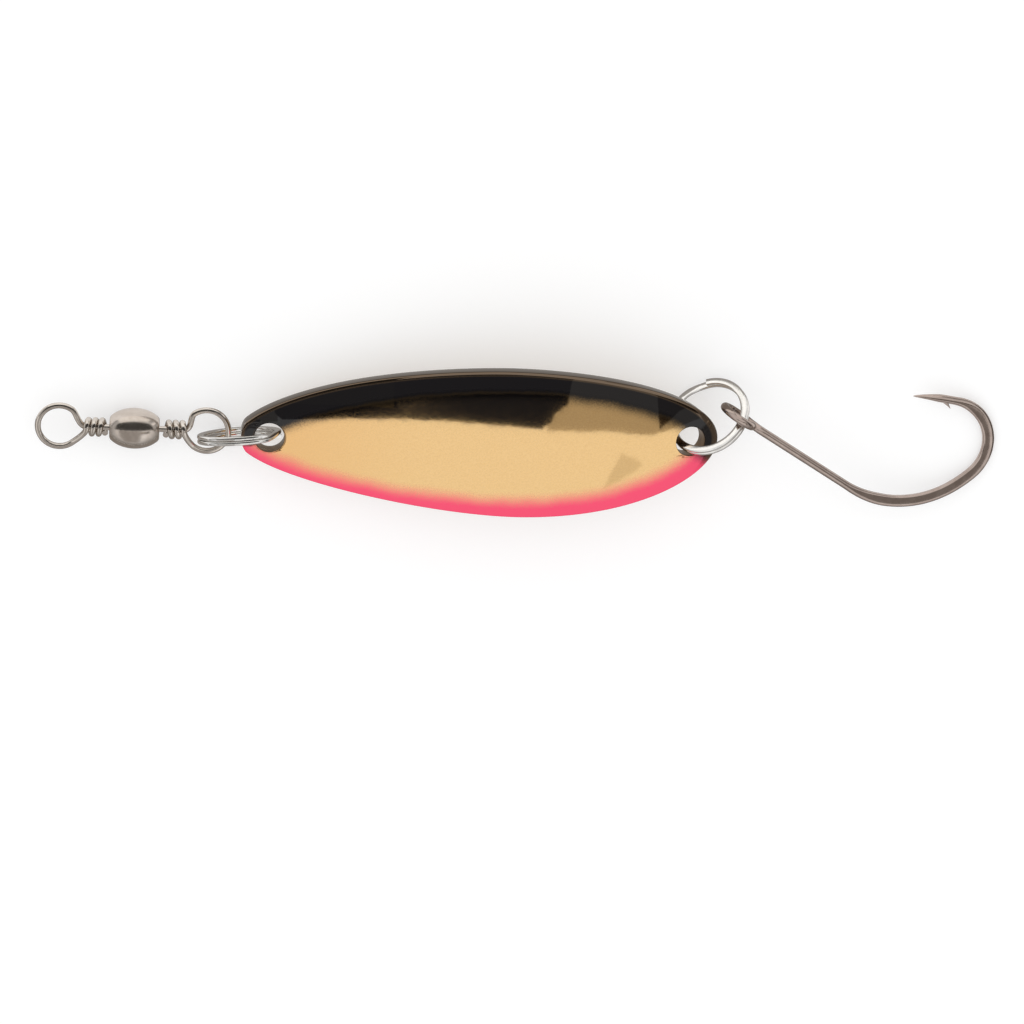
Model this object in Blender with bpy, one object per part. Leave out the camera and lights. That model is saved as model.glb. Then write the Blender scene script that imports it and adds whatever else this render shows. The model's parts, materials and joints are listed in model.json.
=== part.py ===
"""A trout spoon: an S-curved blade between two split rings, with a barrel swivel and a single hook.

It lies painted face up. +X runs from the line eye to the hook, +Y across the blade, +Z up. The origin is
at the centre of the whole lure's box, on the surface that it lies on. Everything is in metres.
"""

import math

import bmesh
import bpy
from mathutils import Matrix, Vector

MM = 0.001

# Blade: a plate with a rounded edge, arched along its length and crowned across it.
BLADE_LENGTH = 38.6 * MM
BLADE_WIDTH = 12.4 * MM
BLADE_THICKNESS = 1.6 * MM
BLADE_EDGE_RADIUS = 0.3 * MM
BLADE_ARCH = 1.4 * MM  # height of the middle above the tips
BLADE_TAIL_RISE = 2.4 * MM  # how much the arch leans towards the tail
BLADE_CROWN = 0.32 * MM  # height of the centre line above the edges, at the widest place
WIDEST_AT = 0.15  # share of the half length, from the middle towards the tail
FRONT_FULLNESS = 1.7  # exponents of the front outline: 2 and 0.5 would be an ellipse
FRONT_SHARPNESS = 0.575
FRONT_BLUNTNESS = 0.02  # share of the front outline that its blunt end cuts off
HOLE_DIAMETER = 2.45 * MM
HOLE_FLARE = 0.12 * MM
FRONT_WEB = 1.12 * MM  # metal between the front hole and the front tip
REAR_WEB = 0.98 * MM
HOLE_SEGMENTS = 24
BLADE_STATIONS = 64
BLADE_LOOPS = 8

# Split rings: two turns of flattened wire that lie on each other and cross over at a jog.
RING_OUTER_DIAMETER = 6.9 * MM
RING_WIRE_WIDTH = 0.58 * MM  # across the ring
RING_WIRE_HEIGHT = 0.34 * MM  # along the ring's axis
RING_WIRE_CORNER = 0.09 * MM
RING_TURN_GAP = 0.04 * MM
RING_JOG = math.radians(44)
RING_END_GAP = math.radians(4)
RING_STEPS = 36  # per turn

# Swivel: a hollow barrel that holds the upset heads of two wire eyes.
BARREL_LENGTH = 4.05 * MM
BARREL_DIAMETER = 3.35 * MM
BARREL_END_DIAMETER = 1.8 * MM
BARREL_WALL = 0.36 * MM
BARREL_SEGMENTS = 28
BARREL_STEPS = 10
EYE_WIRE_DIAMETER = 0.5 * MM
EYE_WIRE_SIDES = 8
EYE_LOOP_RADIUS = 1.76 * MM  # to the middle of the wire
EYE_LOOP_OPENING = math.radians(54)  # where the loop leaves its circle, from the axis
THROAT_START = 0.1 * MM  # where the shank begins to bend, before the end of the wraps
LEG_EASE = 0.8 * MM  # how gently the wire leaves the shank, enters the loop and enters the wraps
LOOP_EASE = 0.5 * MM
WRAP_EASE = 0.35 * MM
THROAT_STEPS = 12
LOOP_STEPS = 28
WRAP_TURNS = 2.75
WRAP_STEPS = 20  # per turn
WRAP_STARTS_AT = math.radians(100)  # round the shank, from its side
WRAP_PITCH = 0.56 * MM
WRAP_CLEARANCE = 0.06 * MM  # between the shank and the wire wrapped round it
HEAD_DIAMETER = 1.25 * MM
HEAD_LENGTH = 0.5 * MM
HEAD_SHAPE = (0.75, 0.93, 1.0, 1.0, 0.93, 0.75)  # shares of the head's radius, along it
HEAD_STEP = 0.03 * MM  # the length in which a head falls to the wire
HEAD_CLEARANCE = 0.1 * MM  # between a head and the barrel's end wall
SHANK_CLEARANCE = 0.08 * MM  # between a shank and its bore
LINE_EYE_STANDOFF = 0.12 * MM  # between the barrel and the first wrap
RING_EYE_STANDOFF = 0.28 * MM
LINE_EYE_REACH = 2.2 * MM  # from the last wrap to the loop's centre
RING_EYE_REACH = 1.82 * MM

# Hook: one wire, seen in its bend plane as a straight shank and four arcs, each (radius, turn).
HOOK_WIRE_DIAMETER = 0.68 * MM
HOOK_FORGED_WIDTH = 0.98 * MM  # in the bend plane
HOOK_FORGED_HEIGHT = 0.56 * MM
HOOK_EYE_RADIUS = 1.36 * MM  # to the middle of the wire
HOOK_EYE_CLEARANCE = 0.06 * MM  # between the end of the eye and the shank
HOOK_EYE_THROAT = math.radians(38)  # where the eye leaves its circle, from the shank
HOOK_EYE_STEPS = 18
HOOK_SHANK = 11.6 * MM  # from the eye's centre to the bend
HOOK_BEND = (
    (8.4 * MM, math.radians(62.5)),
    (10.3 * MM, math.radians(11.3)),
    (3.6 * MM, math.radians(126.0)),
    (23.0 * MM, math.radians(9.8)),
)
HOOK_ARC_STEP = math.radians(8)
HOOK_FEWEST_STEPS = 4  # in one arc
HOOK_POINT_TAPER = 2.3 * MM
HOOK_TIP_DIAMETER = 0.06 * MM
BARB_FROM_TIP = 3.35 * MM
BARB_LENGTH = 1.5 * MM
BARB_HEIGHT = 0.42 * MM
BARB_THICKNESS = 0.3 * MM
HOOK_SIDES = 10

# How the pieces lie. Each ring is given by the way from its hole to its centre, by the way its wire
# runs up through the hole, and by where the wire stands in the hole, from the hole's centre.
FRONT_RING_OUT = Vector((-0.996, -0.060, 0.030))
FRONT_RING_UP = Vector((0.030, 0.215, 0.976))
FRONT_RING_IN_HOLE = Vector((0.70, 0.08, 0.0)) * MM
FRONT_RING_JOG_AT = math.radians(150)
REAR_RING_OUT = Vector((0.766, 0.604, -0.220))
REAR_RING_UP = Vector((0.507, -0.357, 0.785))
REAR_RING_IN_HOLE = Vector((-0.66, -0.26, 0.0)) * MM
REAR_RING_JOG_AT = math.radians(-84)
SWIVEL_LINK_AT = math.radians(-33)  # round the front ring, from its outer end towards the surface
SWIVEL_YAW = math.radians(-2.0)
SWIVEL_SLACK = 0.05 * MM  # from the loop's centre to the wire of the ring that runs through it
SWIVEL_SIDE_SLACK = 0.45 * MM
HOOK_LINK_AT = math.radians(52)  # round the rear ring
HOOK_SLACK = 0.5 * MM  # from the eye's centre to the wire of the rear ring
HOOK_HEADING = math.radians(-36.2)  # of the shank, in the bend plane
HOOK_DIP = math.radians(13.4)  # the bend plane falls away towards +X


def clear_scene():
    for old in list(bpy.data.objects):
        bpy.data.objects.remove(old, do_unlink=True)


def metal(name, colour, roughness, metallic=1.0, coat=0.0):
    material = bpy.data.materials.new(name)
    material.use_nodes = True
    shader = material.node_tree.nodes["Principled BSDF"]
    shader.inputs["Base Color"].default_value = (*colour, 1.0)
    shader.inputs["Roughness"].default_value = roughness
    shader.inputs["Metallic"].default_value = metallic
    shader.inputs["Coat Weight"].default_value = coat
    return material


def place(name, shape, origin, material, parent=None):
    """Makes an object of a bmesh in world coordinates, with its own origin at the given point."""
    bmesh.ops.recalc_face_normals(shape, faces=shape.faces)
    if shape.calc_volume(signed=True) < 0:
        bmesh.ops.reverse_faces(shape, faces=shape.faces)
    bmesh.ops.translate(shape, verts=shape.verts, vec=-origin)
    mesh = bpy.data.meshes.new(name)
    shape.to_mesh(mesh)
    shape.free()
    mesh.shade_smooth()
    mesh.set_sharp_from_angle(angle=math.radians(40))
    piece = bpy.data.objects.new(name, mesh)
    bpy.context.collection.objects.link(piece)
    piece.data.materials.append(material)
    piece.location = origin
    if parent:
        bpy.context.view_layer.update()
        piece.parent = parent
        piece.matrix_parent_inverse = parent.matrix_world.inverted()
    return piece


def skin(shape, rings, closed=False):
    """Joins each ring of points to the next one with a band of faces. It returns the rings' vertices."""
    loops = [[shape.verts.new(point) for point in ring] for ring in rings]
    count = len(loops[0])
    for here, there in zip(loops, loops[1:] + loops[:1] if closed else loops[1:]):
        for i in range(count):
            j = (i + 1) % count
            shape.faces.new((here[i], here[j], there[j], there[i]))
    return loops


def loft(rings):
    """A row of rings, with a flat cap at either end."""
    shape = bmesh.new()
    loops = skin(shape, rings)
    shape.faces.new(loops[0])
    shape.faces.new(loops[-1])
    return shape


def loft_round(rings):
    """A row of rings, the last of them joined to the first."""
    shape = bmesh.new()
    skin(shape, rings, closed=True)
    return shape


def loft_to_points(first, rings, last):
    """A row of rings, closed at either end with a fan round one point."""
    shape = bmesh.new()
    loops = skin(shape, rings)
    for point, loop in ((first, loops[0]), (last, loops[-1])):
        tip = shape.verts.new(point)
        for a, b in zip(loop, loop[1:] + loop[:1]):
            shape.faces.new((a, b, tip))
    return shape


def round_section(across, along, radius, sides):
    turns = (2 * math.pi * i / sides for i in range(sides))
    return [(across * math.cos(a) + along * math.sin(a)) * radius for a in turns]


def tube(path, radii, sides):
    """A round wire along a path. Each section is the last one carried on without twist."""
    rings = []
    across = None
    for i, point in enumerate(path):
        before = path[max(i - 1, 0)]
        after = path[min(i + 1, len(path) - 1)]
        ahead = (after - before).normalized()
        if across is None:
            across = ahead.orthogonal()
        across = (across - ahead * across.dot(ahead)).normalized()
        section = round_section(across, ahead.cross(across), radii[i], sides)
        rings.append([point + offset for offset in section])
    return loft(rings)


def bezier(a, b, c, d, steps):
    """Points along a cubic curve from a to d, without a itself."""
    return [
        a * (1 - t) ** 3 + b * (3 * (1 - t) ** 2 * t) + c * (3 * (1 - t) * t * t) + d * t**3
        for t in (i / steps for i in range(1, steps + 1))
    ]


def least_gap(path, thickness, apart):
    """The least clear distance between two stretches of a wire that lie far apart along it."""
    travelled = [0.0]
    for a, b in zip(path, path[1:]):
        travelled.append(travelled[-1] + (b - a).length)
    return min(
        (path[i] - path[j]).length - thickness
        for i in range(len(path))
        for j in range(i)
        if travelled[i] - travelled[j] > apart
    )


# Blade ------------------------------------------------------------------------------------------

def half_width(u):
    """Half the blade's width at u, which runs from -1 at the front tip to 1 at the tail tip."""
    if u > WIDEST_AT:
        v = (u - WIDEST_AT) / (1 - WIDEST_AT)
        return BLADE_WIDTH / 2 * math.sqrt(max(1 - v * v, 0.0))
    v = (WIDEST_AT - u) / (1 + WIDEST_AT) * (1 - FRONT_BLUNTNESS)
    return BLADE_WIDTH / 2 * max(1 - v**FRONT_FULLNESS, 0.0) ** FRONT_SHARPNESS


def blade_height(x, y):
    """Height of the blade's middle surface above its tips."""
    u = 2 * x / BLADE_LENGTH
    arch = (1 - u * u) * (BLADE_ARCH + BLADE_TAIL_RISE * u)
    crown = half_width(min(max(u, -1.0), 1.0)) ** 2 - y * y
    return arch + BLADE_CROWN * crown / (BLADE_WIDTH / 2) ** 2


def blade_point(x, y):
    return Vector((x, y, blade_height(x, y)))


def blade_normal(x, y):
    step = BLADE_EDGE_RADIUS / 4
    x = min(max(x, -BLADE_LENGTH / 2 + step), BLADE_LENGTH / 2 - step)
    along = blade_point(x + step, y) - blade_point(x - step, y)
    across = blade_point(x, y + step) - blade_point(x, y - step)
    return along.cross(across).normalized()


def outline_point(turn, inset):
    """A point of the blade's outline, moved inwards, with the way out from there."""
    def at(angle):
        u = math.cos(angle)
        return Vector((u * BLADE_LENGTH / 2, math.copysign(half_width(u), math.sin(angle)), 0.0))
    ahead = at(turn + 0.01) - at(turn - 0.01)
    outward = Vector((ahead.y, -ahead.x, 0.0)).normalized()
    return at(turn) - outward * inset, outward


def edge_profile():
    """The rounded edge from the face round to the back: how far out from the rim, and how high."""
    core = BLADE_THICKNESS / 2 - BLADE_EDGE_RADIUS
    turns = (0.0, math.pi / 4, math.pi / 2)
    corner = [
        (BLADE_EDGE_RADIUS * math.sin(turn), core + BLADE_EDGE_RADIUS * math.cos(turn))
        for turn in turns
    ]
    return corner + [(out, -up) for out, up in reversed(corner)]


def blade_shape():
    """Loops of points run from the middle of the face out, round the edge and back in beneath."""
    half = BLADE_THICKNESS / 2
    turns = [2 * math.pi * (i + 0.5) / BLADE_STATIONS for i in range(BLADE_STATIONS)]
    rim = [outline_point(turn, BLADE_EDGE_RADIUS) for turn in turns]

    def surface(x, y, side):
        return blade_point(x, y) + blade_normal(x, y) * half * side

    def inner_loop(share, side):
        return [surface(point.x * share, point.y * share, side) for point, _ in rim]

    def edge_loop(out, up):
        loop = []
        for point, outward in rim:
            normal = blade_normal(point.x, point.y)
            level = (outward - normal * outward.dot(normal)).normalized()
            loop.append(blade_point(point.x, point.y) + level * out + normal * up)
        return loop

    shares = [k / BLADE_LOOPS for k in range(1, BLADE_LOOPS)]
    loops = [inner_loop(share, 1) for share in shares]
    loops += [edge_loop(out, up) for out, up in edge_profile()]
    loops += [inner_loop(share, -1) for share in reversed(shares)]
    return loft_to_points(surface(0.0, 0.0, 1), loops, surface(0.0, 0.0, -1))


def hole_centres():
    front = -BLADE_LENGTH / 2 + FRONT_WEB + HOLE_DIAMETER / 2
    rear = BLADE_LENGTH / 2 - REAR_WEB - HOLE_DIAMETER / 2
    return blade_point(front, 0.0), blade_point(rear, 0.0)


def hole_cutter(name, centre):
    """A turned cutter that flares where it leaves either side of the blade."""
    radius = HOLE_DIAMETER / 2
    reach = BLADE_THICKNESS / 2
    over = HOLE_FLARE * 2
    profile = [
        (radius + HOLE_FLARE + over, -reach - over),
        (radius, -reach + HOLE_FLARE),
        (radius, reach - HOLE_FLARE),
        (radius + HOLE_FLARE + over, reach + over),
    ]
    normal = blade_normal(centre.x, centre.y)
    across = Vector((0.0, 1.0, 0.0))
    along = across.cross(normal)
    rings = []
    for r, height in profile:
        section = round_section(along, across, r, HOLE_SEGMENTS)
        rings.append([centre + normal * height + offset for offset in section])
    shape = loft(rings)
    cutter = place(name, shape, centre, metal(name, (0.5, 0.5, 0.5), 0.5))
    cutter.hide_render = True
    cutter.display_type = "WIRE"
    return cutter


def make_blade():
    gold = metal("painted_gold", (0.83, 0.55, 0.24), 0.18, coat=1.0)
    blade = place("blade", blade_shape(), Vector((0.0, 0.0, 0.0)), gold)
    for side, centre in zip(("front", "rear"), hole_centres()):
        cut = blade.modifiers.new(side + "_hole", "BOOLEAN")
        cut.operation = "DIFFERENCE"
        cut.object = hole_cutter(side + "_hole_cutter", centre)
    return blade


# Split rings --------------------------------------------------------------------------------------

def ring_radius():
    return (RING_OUTER_DIAMETER - RING_WIRE_WIDTH) / 2


class Ring:
    """Where a split ring lies: its centre, and its two in-plane directions."""

    def __init__(self, hole, out, up, in_hole):
        self.out = out.normalized()
        self.up = (up - self.out * up.dot(self.out)).normalized()
        self.axis = self.out.cross(self.up)
        self.centre = hole + in_hole + self.out * ring_radius()

    def at(self, angle):
        return self.centre + (self.out * math.cos(angle) + self.up * math.sin(angle)) * ring_radius()

    def along(self, angle):
        return self.up * math.cos(angle) - self.out * math.sin(angle)


def ring_section():
    wide, high, corner = RING_WIRE_WIDTH / 2, RING_WIRE_HEIGHT / 2, RING_WIRE_CORNER
    quarter = [(wide, high - corner), (wide - corner, high)]
    points = quarter + [(-a, b) for a, b in reversed(quarter)]
    return points + [(-a, -b) for a, b in points]


def ring_shape(ring, jog_at):
    """Two turns of wire. Halfway along, the wire steps from one turn to the other between its own ends."""
    pitch = RING_WIRE_HEIGHT + RING_TURN_GAP
    first = RING_JOG / 2 + RING_END_GAP
    last = 4 * math.pi - first
    steps = round((last - first) / (2 * math.pi) * RING_STEPS)
    rings = []
    path = []
    for i in range(steps + 1):
        turn = first + (last - first) * i / steps
        share = min(max((turn - 2 * math.pi) / RING_JOG + 0.5, 0.0), 1.0)
        rise = pitch * (share * share * (3 - 2 * share) - 0.5)
        angle = jog_at + turn
        outward = ring.out * math.cos(angle) + ring.up * math.sin(angle)
        middle = ring.centre + outward * ring_radius() + ring.axis * rise
        path.append(middle)
        rings.append([middle + outward * a + ring.axis * b for a, b in ring_section()])
    gap = least_gap(path, RING_WIRE_HEIGHT, ring_radius() * math.pi / 2)
    print(f"split ring: least gap between its turns {gap / MM:.3f} mm")
    return loft(rings)


def make_ring(name, ring, jog_at, parent):
    nickel = metal("bright_nickel", (0.80, 0.78, 0.74), 0.14)
    return place(name, ring_shape(ring, jog_at), ring.centre, nickel, parent)


# Swivel -------------------------------------------------------------------------------------------

class Swivel:
    """Where the swivel lies: the barrel's centre, the way to its ring eye, and its two cross axes."""

    def __init__(self, link):
        self.axis = Matrix.Rotation(SWIVEL_YAW, 3, "Z") @ Vector((1.0, 0.0, 0.0))
        self.up = Vector((0.0, 0.0, 1.0))
        self.side = self.up.cross(self.axis)
        loop_centre = link - self.axis * SWIVEL_SLACK + self.side * SWIVEL_SIDE_SLACK
        self.centre = loop_centre - self.axis * loop_distance(RING_EYE_STANDOFF, RING_EYE_REACH)

    def point(self, along, side, up):
        return self.centre + self.axis * along + self.side * side + self.up * up


def wraps_start(standoff):
    return BARREL_LENGTH / 2 + standoff + EYE_WIRE_DIAMETER / 2


def wraps_end(standoff):
    return wraps_start(standoff) + WRAP_TURNS * WRAP_PITCH


def loop_distance(standoff, reach):
    """From the barrel's centre to the centre of an eye's loop."""
    return wraps_end(standoff) + reach


def make_barrel(swivel, parent):
    """A turned shell: the outer curve, one end face, its bore, the cavity, and the other end."""
    half = BARREL_LENGTH / 2
    end_radius = BARREL_END_DIAMETER / 2
    most = BARREL_DIAMETER / 2
    semi = half / math.sqrt(1 - (end_radius / most) ** 2)
    bore = EYE_WIRE_DIAMETER / 2 + SHANK_CLEARANCE

    def outer(along):
        return most * math.sqrt(1 - (along / semi) ** 2)

    edge = half - BARREL_WALL
    places = [half * (2 * i / BARREL_STEPS - 1) for i in range(BARREL_STEPS + 1)]
    inner = [edge * (1 - 2 * i / BARREL_STEPS) for i in range(BARREL_STEPS + 1)]
    profile = [(along, outer(along)) for along in places]
    profile += [(half, bore), (edge, bore)]
    profile += [(along, outer(along) - BARREL_WALL) for along in inner]
    profile += [(-edge, bore), (-half, bore)]
    rings = [
        [swivel.point(along, 0.0, 0.0) + offset
         for offset in round_section(swivel.side, swivel.up, radius, BARREL_SEGMENTS)]
        for along, radius in profile
    ]
    nickel = metal("black_nickel_barrel", (0.34, 0.31, 0.28), 0.22)
    return place("swivel_barrel", loft_round(rings), swivel.centre, nickel, parent)


def eye_path(standoff, reach):
    """The middle of an eye's wire along the barrel's axis: head, shank, loop, and the wraps back."""
    wrap = EYE_WIRE_DIAMETER + WRAP_CLEARANCE
    outer_end = wraps_end(standoff)
    head_end = BARREL_LENGTH / 2 - BARREL_WALL - HEAD_CLEARANCE - HEAD_LENGTH
    head_steps = len(HEAD_SHAPE) - 1
    straight = [head_end + HEAD_LENGTH * i / head_steps for i in range(head_steps + 1)]
    straight += [head_end + HEAD_LENGTH + HEAD_STEP, BARREL_LENGTH / 2, outer_end - wrap]
    straight.append(outer_end - THROAT_START)
    path = [Vector((along, 0.0, 0.0)) for along in straight]

    centre = Vector((outer_end + reach, 0.0, 0.0))
    turned_in = math.pi - EYE_LOOP_OPENING

    def loop(angle):
        return centre + Vector((math.cos(angle), math.sin(angle), 0.0)) * EYE_LOOP_RADIUS

    def loop_way(angle):
        return Vector((math.sin(angle), -math.cos(angle), 0.0))

    path += bezier(
        path[-1],
        path[-1] + Vector((LEG_EASE, 0.0, 0.0)),
        loop(turned_in) - loop_way(turned_in) * LOOP_EASE,
        loop(turned_in),
        THROAT_STEPS,
    )
    path += [loop(turned_in * (1 - 2 * i / LOOP_STEPS)) for i in range(1, LOOP_STEPS + 1)]

    count = round(WRAP_TURNS * WRAP_STEPS)
    coil = []
    for i in range(count + 1):
        turned = i / count * WRAP_TURNS
        angle = WRAP_STARTS_AT - 2 * math.pi * turned
        coil.append(Vector((
            outer_end - turned * WRAP_PITCH, wrap * math.cos(angle), wrap * math.sin(angle),
        )))
    path += bezier(
        path[-1],
        path[-1] + loop_way(-turned_in) * WRAP_EASE,
        coil[0] - (coil[1] - coil[0]).normalized() * WRAP_EASE,
        coil[0],
        THROAT_STEPS,
    )
    return path + coil[1:]


def make_eye(name, swivel, way, standoff, reach, origin, parent):
    path = [
        swivel.point(way * point.x, point.y, point.z) for point in eye_path(standoff, reach)
    ]
    radii = [EYE_WIRE_DIAMETER / 2] * len(path)
    for i, share in enumerate(HEAD_SHAPE):
        radii[i] = HEAD_DIAMETER / 2 * share
    gap = least_gap(path, EYE_WIRE_DIAMETER, EYE_WIRE_DIAMETER * 3)
    print(f"{name}: least gap of its wire to itself {gap / MM:.3f} mm")
    nickel = metal("black_nickel_wire", (0.42, 0.38, 0.34), 0.2)
    return place(name, tube(path, radii, EYE_WIRE_SIDES), origin, nickel, parent)


# Hook ---------------------------------------------------------------------------------------------

class HookFrame:
    """The bend plane: its level direction, its cross direction and its normal, with the eye's centre."""

    def __init__(self, link):
        self.level = Vector((math.cos(HOOK_DIP), 0.0, -math.sin(HOOK_DIP)))
        self.across = Vector((0.0, 1.0, 0.0))
        self.normal = self.level.cross(self.across)
        self.shank = self.way(HOOK_HEADING)
        self.eye = link - self.shank * HOOK_SLACK

    def way(self, heading):
        return self.level * math.cos(heading) + self.across * math.sin(heading)


def hook_line(frame):
    """Points along the hook from the end of its eye to its point, each with the heading there."""
    wire = HOOK_WIRE_DIAMETER
    start = math.asin((wire + HOOK_EYE_CLEARANCE) / (HOOK_EYE_RADIUS + wire / 2))
    sweep = 2 * math.pi - start - HOOK_EYE_THROAT
    line = []
    for i in range(HOOK_EYE_STEPS + 1):
        angle = start + sweep * i / HOOK_EYE_STEPS
        outward = frame.shank * math.cos(angle) + frame.normal * math.sin(angle)
        line.append((frame.eye + outward * HOOK_EYE_RADIUS, HOOK_HEADING))

    # From the circle the wire curves into the line of the shank.
    drop = HOOK_EYE_RADIUS * math.sin(HOOK_EYE_THROAT)
    for share in (0.4, 0.7, 1.0):
        along = HOOK_EYE_RADIUS * (math.cos(HOOK_EYE_THROAT) + share)
        low = drop * (1 - share) ** 2
        line.append((frame.eye + frame.shank * along - frame.normal * low, HOOK_HEADING))
    for share in (0.4, 0.6, 0.8, 1.0):
        line.append((frame.eye + frame.shank * HOOK_SHANK * share, HOOK_HEADING))

    point, heading = line[-1]
    for radius, turn in HOOK_BEND:
        centre = point + frame.way(heading + math.pi / 2) * radius
        count = max(round(turn / HOOK_ARC_STEP), HOOK_FEWEST_STEPS)
        for i in range(1, count + 1):
            spun = heading + turn * i / count
            line.append((centre - frame.way(spun + math.pi / 2) * radius, spun))
        point, heading = line[-1]
    return line


def clamp(value):
    return min(max(value, 0.0), 1.0)


def hook_shape(frame):
    """The wire is round at the eye and shank, forged flatter in the bend, and tapered to a point."""
    line = hook_line(frame)
    travelled = [0.0]
    for (a, _), (b, _) in zip(line, line[1:]):
        travelled.append(travelled[-1] + (b - a).length)
    forged_from = 2 * math.pi * HOOK_EYE_RADIUS + HOOK_SHANK * 0.75
    round_half = HOOK_WIRE_DIAMETER / 2
    tip_half = HOOK_TIP_DIAMETER / 2
    rings = []
    for i, (point, heading) in enumerate(line):
        before = line[max(i - 1, 0)][0]
        after = line[min(i + 1, len(line) - 1)][0]
        inner = frame.way(heading + math.pi / 2)
        side = (after - before).cross(inner).normalized()
        to_tip = travelled[-1] - travelled[i]
        forged = clamp((travelled[i] - forged_from) / (4 * HOOK_FORGED_WIDTH))
        forged *= clamp((to_tip - BARB_FROM_TIP) / (3 * HOOK_FORGED_WIDTH))
        taper = clamp(to_tip / HOOK_POINT_TAPER) ** 0.75
        wide, high = (
            tip_half + (round_half + (full / 2 - round_half) * forged - tip_half) * taper
            for full in (HOOK_FORGED_WIDTH, HOOK_FORGED_HEIGHT)
        )
        turns = (2 * math.pi * k / HOOK_SIDES for k in range(HOOK_SIDES))
        rings.append([
            point + inner * wide * math.cos(turn) + side * high * math.sin(turn) for turn in turns
        ])
    return loft(rings)


def barb_shape(frame):
    """A thin wedge on the inner side of the point. Its free edge looks back towards the bend."""
    line = hook_line(frame)
    back = 0.0
    for (a, _), (root, heading) in zip(reversed(line), reversed(line[:-1])):
        back += (a - root).length
        if back >= BARB_FROM_TIP:
            break
    to_tip = frame.way(heading)
    inner = frame.way(heading + math.pi / 2)
    half = HOOK_WIRE_DIAMETER / 2
    corners = (
        (0.35 * BARB_LENGTH, 0.3 * half),
        (BARB_LENGTH, 0.3 * half),
        (0.9 * BARB_LENGTH, 0.9 * half),
        (0.0, half + BARB_HEIGHT),
        (-0.02 * BARB_LENGTH, half + 0.82 * BARB_HEIGHT),
    )
    outline = [root + to_tip * along + inner * out for along, out in corners]
    width = frame.normal * BARB_THICKNESS / 2
    return loft([[point - width for point in outline], [point + width for point in outline]])


def make_hook(frame, link, parent):
    smoked = metal("smoked_nickel", (0.17, 0.14, 0.12), 0.24)
    hook = place("hook", hook_shape(frame), link, smoked, parent)
    barb = place("barb_wedge", barb_shape(frame), link, smoked)
    barb.hide_render = True
    barb.display_type = "WIRE"
    join = hook.modifiers.new("barb", "BOOLEAN")
    join.operation = "UNION"
    join.object = barb
    return hook


# Assembly -----------------------------------------------------------------------------------------

def build():
    """Makes every piece, with the blade's tips at height zero. Each piece hangs on its parent."""
    front_hole, rear_hole = hole_centres()
    front = Ring(front_hole, FRONT_RING_OUT, FRONT_RING_UP, FRONT_RING_IN_HOLE)
    rear = Ring(rear_hole, REAR_RING_OUT, REAR_RING_UP, REAR_RING_IN_HOLE)
    blade = make_blade()
    front_ring = make_ring("front_split_ring", front, FRONT_RING_JOG_AT, blade)
    rear_ring = make_ring("rear_split_ring", rear, REAR_RING_JOG_AT, blade)
    swivel_link = front.at(SWIVEL_LINK_AT)
    swivel = Swivel(swivel_link)
    ring_eye = make_eye(
        "swivel_ring_eye", swivel, 1, RING_EYE_STANDOFF, RING_EYE_REACH, swivel_link, front_ring
    )
    barrel = make_barrel(swivel, ring_eye)
    line_eye = make_eye(
        "swivel_line_eye", swivel, -1, LINE_EYE_STANDOFF, LINE_EYE_REACH, swivel.centre, barrel
    )
    hook_link = rear.at(HOOK_LINK_AT)
    hook = make_hook(HookFrame(hook_link), hook_link, rear_ring)
    return {
        front_ring: front.axis,
        ring_eye: front.along(SWIVEL_LINK_AT),
        barrel: swivel.axis,
        line_eye: swivel.axis,
        rear_ring: rear.axis,
        hook: rear.along(HOOK_LINK_AT),
    }


def whole_box():
    """The lowest and highest corners of all the pieces."""
    bpy.context.view_layer.update()
    graph = bpy.context.evaluated_depsgraph_get()
    corners = []
    for piece in bpy.context.view_layer.objects:
        if piece.hide_render:
            continue
        shown = piece.evaluated_get(graph)
        corners += [shown.matrix_world @ vertex.co for vertex in shown.data.vertices]
    low = Vector(min(corner[i] for corner in corners) for i in range(3))
    high = Vector(max(corner[i] for corner in corners) for i in range(3))
    return low, high


def rest_on_surface():
    """Moves the lure so that it lies on the surface, with its box centred over the origin."""
    low, high = whole_box()
    shift = Vector((-(low.x + high.x) / 2, -(low.y + high.y) / 2, -low.z))
    for piece in bpy.context.view_layer.objects:
        if piece.parent is None:
            piece.location += shift
    bpy.context.view_layer.update()


def main():
    clear_scene()
    axes = build()
    rest_on_surface()
    for piece, axis in axes.items():
        at = ", ".join(f"{value:.6f}" for value in piece.matrix_world.translation)
        way = ", ".join(f"{value:.5f}" for value in axis)
        print(f"{piece.name} turns about ({way}) through ({at})")


main()
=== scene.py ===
"""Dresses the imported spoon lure: painted gold blade, split rings, barrel swivel and single hook.

Sizes are written in millimetres and each piece is brought to metres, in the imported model's own frame, when
it is finished.
"""

import json
import math
from contextlib import contextmanager

import bpy
import numpy as np
from mathutils import Matrix, Vector
from mathutils.kdtree import KDTree


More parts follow.
